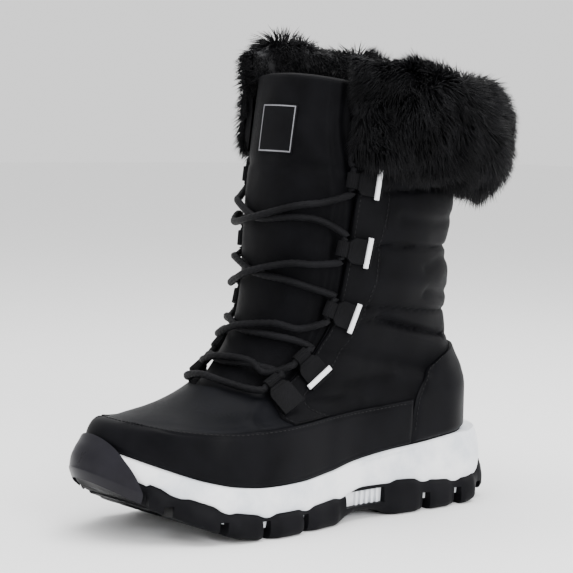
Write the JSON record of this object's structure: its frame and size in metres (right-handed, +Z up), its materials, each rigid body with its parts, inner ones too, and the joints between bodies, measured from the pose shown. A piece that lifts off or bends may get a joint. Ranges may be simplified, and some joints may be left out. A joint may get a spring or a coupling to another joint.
{
  "type": "snow boot",
  "caption": "Left lace-up snow boot with a deep fur collar, quilted shaft, foam wedge and lugged rubber cup sole.",
  "frame": {"origin": "middle of the whole boot's footprint, on the floor that the sole stands on", "axes": "+X from the heel to the toe, +Y towards the outer (lateral) side of the left foot, +Z up"},
  "size_m": [0.2938, 0.173, 0.2906],
  "materials": {
    "outsole_rubber": "matt moulded rubber",
    "bumper_rubber": "smooth satin rubber",
    "midsole_foam": "moulded foam, faintly mottled",
    "upper_nylon": "padded coated nylon",
    "band_leather": "smooth coated leather",
    "facing_fabric": "heavy webbing",
    "lining_fabric": "brushed lining",
    "fur_black": "deep faux fur",
    "label_weave": "plain woven patch",
    "lace_cord": "round braided cord",
    "tab_white": "satin white"
  },
  "bodies": {
    "root": {"facing_lateral": "facing_fabric", "facing_medial": "facing_fabric", "fur_collar": "fur_black", "heel_counter": "band_leather", "insole": "lining_fabric", "lace_bar": "lace_cord", "lace_cross_1": "lace_cord", "lace_cross_2": "lace_cord", "lace_cross_3": "lace_cord", "lace_cross_4": "lace_cord", "lace_loop_lateral_1": "facing_fabric", "lace_loop_lateral_2": "facing_fabric", "lace_loop_lateral_3": "facing_fabric", "lace_loop_lateral_4": "facing_fabric", "lace_loop_lateral_5": "facing_fabric", "lace_loop_medial_1": "facing_fabric", "lace_loop_medial_2": "facing_fabric", "lace_loop_medial_3": "facing_fabric", "lace_loop_medial_4": "facing_fabric", "lace_loop_medial_5": "facing_fabric", "midsole": "midsole_foam", "mudguard": "band_leather", "outsole": "outsole_rubber", "toe_bumper": "bumper_rubber", "tongue": "upper_nylon", "tongue_label": "label_weave", "upper": "upper_nylon", "white_tab_lateral_1": "tab_white", "white_tab_lateral_2": "tab_white", "white_tab_lateral_3": "tab_white", "white_tab_lateral_4": "tab_white", "white_tab_medial_1": "tab_white", "white_tab_medial_2": "tab_white", "white_tab_medial_3": "tab_white", "white_tab_medial_4": "tab_white"}
  },
  "joints": []
}
